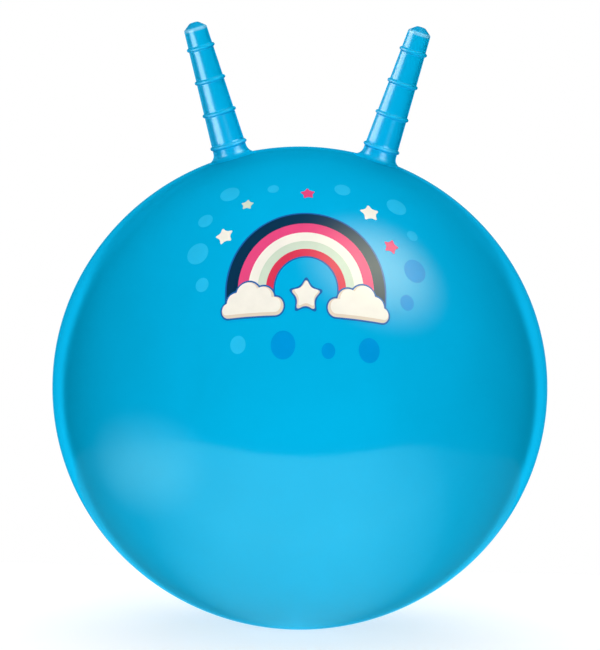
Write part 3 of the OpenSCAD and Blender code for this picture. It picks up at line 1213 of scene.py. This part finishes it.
# Glints on a horn, as (name, piece, width, strength, panels), and their turns from its front in degrees.
# A panel is the upward tilt in degrees of the surface that shows it, and its share of the strength.
GLINTS = [
    ("streak_glint", "root", 0.5, 5.4, ((8, 0.8), (24, 1.0))),
    ("round_glint", "root", 0.8, 5.4, ((8, 0.8), (24, 0.8))),
    ("neck_glint", "neck", 0.5, 0.55, ((0, 1.0),)),
]
GLINT_TURNS = {"left": (-22, 28, 13), "right": (-43, 12, 11)}
GLINT_HEIGHT = 0.5


def mirrored(normal):
    """Direction that the camera sees mirrored in a surface with that normal."""
    return 2 * normal.dot(TO_CAMERA) * normal - TO_CAMERA


def add_panel(name, pieces, place, direction, size, strength, colour):
    """A soft oval panel that shows only in the gloss of some pieces."""
    receivers = bpy.data.collections.new(name + "_receivers")
    for piece in pieces:
        receivers.objects.link(piece)
    lamp = bpy.data.lights.new(name, "AREA")
    lamp.shape = "ELLIPSE"
    lamp.size, lamp.size_y = size
    lamp.energy = strength * size[0] * size[1] * pi
    lamp.color = colour
    panel = add_object(name, lamp)
    panel.location = place
    aim(panel, direction)
    panel.visible_camera = False
    panel.visible_diffuse = False
    panel.light_linking.receiver_collection = receivers


def build_horn_panels(horn, pieces):
    """Panels that show on one horn, as a streak along its side and glints at its root."""
    middle = horn.point(0, 0, horn.tip / 2)
    for kind, parts, direction, width, strength, colour in HORN_PANELS[horn.name]:
        place = middle + Vector(direction).normalized() * PANEL_DISTANCE
        receivers = [pieces[part] for part in parts]
        size = (width, PANEL_HEIGHT)
        add_panel(f"{horn.name}_{kind}_panel", receivers, place, direction, size, strength, colour)
    for (kind, part, width, strength, panels), turn in zip(GLINTS, GLINT_TURNS[horn.name]):
        angle = radians(turn)
        out = horn.across * sin(angle) - horn.depth * cos(angle)
        for i, (rise, share) in enumerate(panels):
            tilt = radians(rise)
            direction = mirrored(out * cos(tilt) + horn.axis * sin(tilt))
            place = horn.foot + direction * PANEL_DISTANCE
            size = (width, GLINT_HEIGHT)
            add_panel(f"{horn.name}_{kind}_{i + 1}", [pieces[part]], place, direction, size,
                      strength * share, WHITE_LIGHT)


def card_material():
    """Light that fades from the card's middle to its edge, and lets the rest of the scene through."""
    material, tree, coords = new_material("side_card_light")
    scaled = vector_node(tree, "DIVIDE", "Vector", coords, (*SIDE_SIZE, 1.0))
    reach = vector_node(tree, "LENGTH", "Value", scaled)
    fade = ranged(tree, reach, 0.0, 1.0, SIDE_STRENGTH, 0.0, True)
    light = add_node(tree, "Emission", Color=SIDE_COLOUR, Strength=fade)
    both = joined(tree, light, add_node(tree, "BsdfTransparent"))
    swap_surface(tree, both)
    material.cycles.emission_sampling = "NONE"
    return material


def build_side_card():
    """A soft oval card low on the left, which shows as one round glow on the ball."""
    normal = Vector(SIDE_SPOT).normalized()
    direction = mirrored(normal)
    wide, tall = SIDE_SIZE
    outline = [(x * wide, y * tall) for x, y in disc((0, 0), 1.0, SIDE_STEPS)]
    card = add_sheet("side_card", outline, card_material())
    card.location = on_ball(normal) + direction * SIDE_DISTANCE
    aim(card, direction)
    card.visible_camera = False
    card.visible_diffuse = False
    card.visible_shadow = False


def build_horn(horn, angles, material):
    """Root, neck and grip of a horn. The ball doesn't mirror them."""
    builders = {"root": build_root, "neck": build_neck, "grip": build_grip}
    pieces = {part: build(horn, angles, material) for part, build in builders.items()}
    for piece in pieces.values():
        piece.visible_glossy = False
    build_horn_panels(horn, pieces)


horns = [Horn(name) for name in SIDES]
build_ball(skin_material())
horn_skin = horn_material(horns[1])
for one_horn in horns:
    build_horn(one_horn, horn_columns(), horn_skin)
build_side_card()
build_seat(grained_material("seat_vinyl", SEAT_COLOUR, **SEAT_LOOK))
build_plug(grained_material("plug_plastic", PLUG_COLOUR, **PLUG_LOOK))
build_print()
build_floor()
build_lamps()
build_world()
build_camera()

bpy.context.scene.view_settings.view_transform = "Standard"
